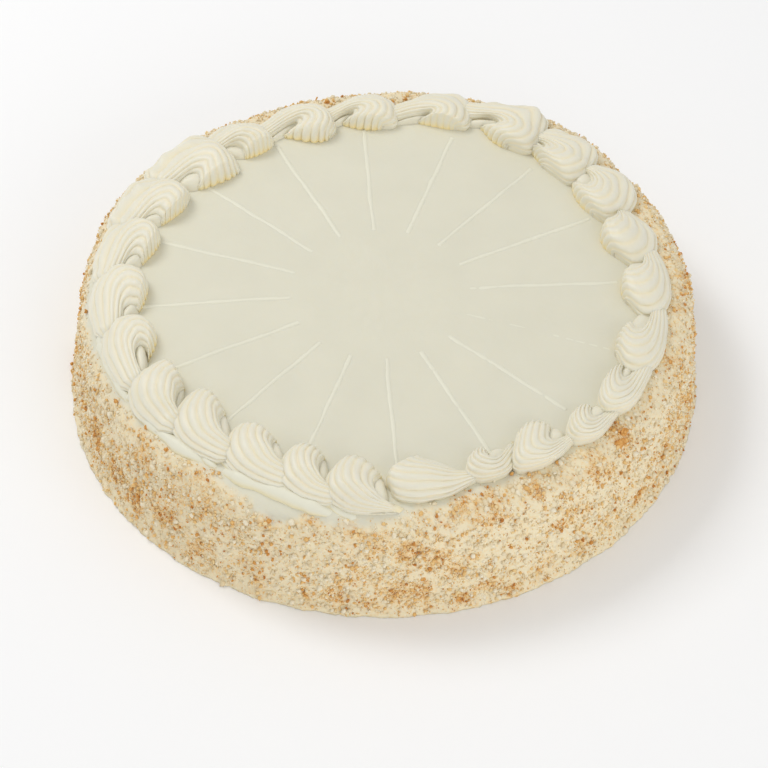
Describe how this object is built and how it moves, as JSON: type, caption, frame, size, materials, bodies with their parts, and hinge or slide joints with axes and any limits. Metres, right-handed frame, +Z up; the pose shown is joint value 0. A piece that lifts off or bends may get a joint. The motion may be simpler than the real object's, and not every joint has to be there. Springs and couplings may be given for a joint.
{
  "type": "round iced cake",
  "caption": "Round iced layer cake with a ring of piped shells round the top, radial portion marks and a crumb-coated side.",
  "frame": {"origin": "middle of the flat underside", "axes": "+Z up through the middle of the cake, +Y towards its back, with the last piped shell at the front, at -Y"},
  "size_m": [0.2666, 0.2671, 0.0597],
  "materials": {
    "cake_icing": "soft satin, pale cream icing, with a crumb coat on the side",
    "shell_icing": "soft satin, ivory piped icing"
  },
  "bodies": {
    "root": {"cake": "cake_icing", "shell_01": "shell_icing", "shell_02": "shell_icing", "shell_03": "shell_icing", "shell_04": "shell_icing", "shell_05": "shell_icing", "shell_06": "shell_icing", "shell_07": "shell_icing", "shell_08": "shell_icing", "shell_09": "shell_icing", "shell_10": "shell_icing", "shell_11": "shell_icing", "shell_12": "shell_icing", "shell_13": "shell_icing", "shell_14": "shell_icing", "shell_15": "shell_icing", "shell_16": "shell_icing", "shell_17": "shell_icing", "shell_18": "shell_icing", "shell_19": "shell_icing", "shell_20": "shell_icing", "shell_21": "shell_icing", "shell_22": "shell_icing", "shell_23": "shell_icing", "shell_24": "shell_icing", "shell_25": "shell_icing"}
  },
  "joints": []
}
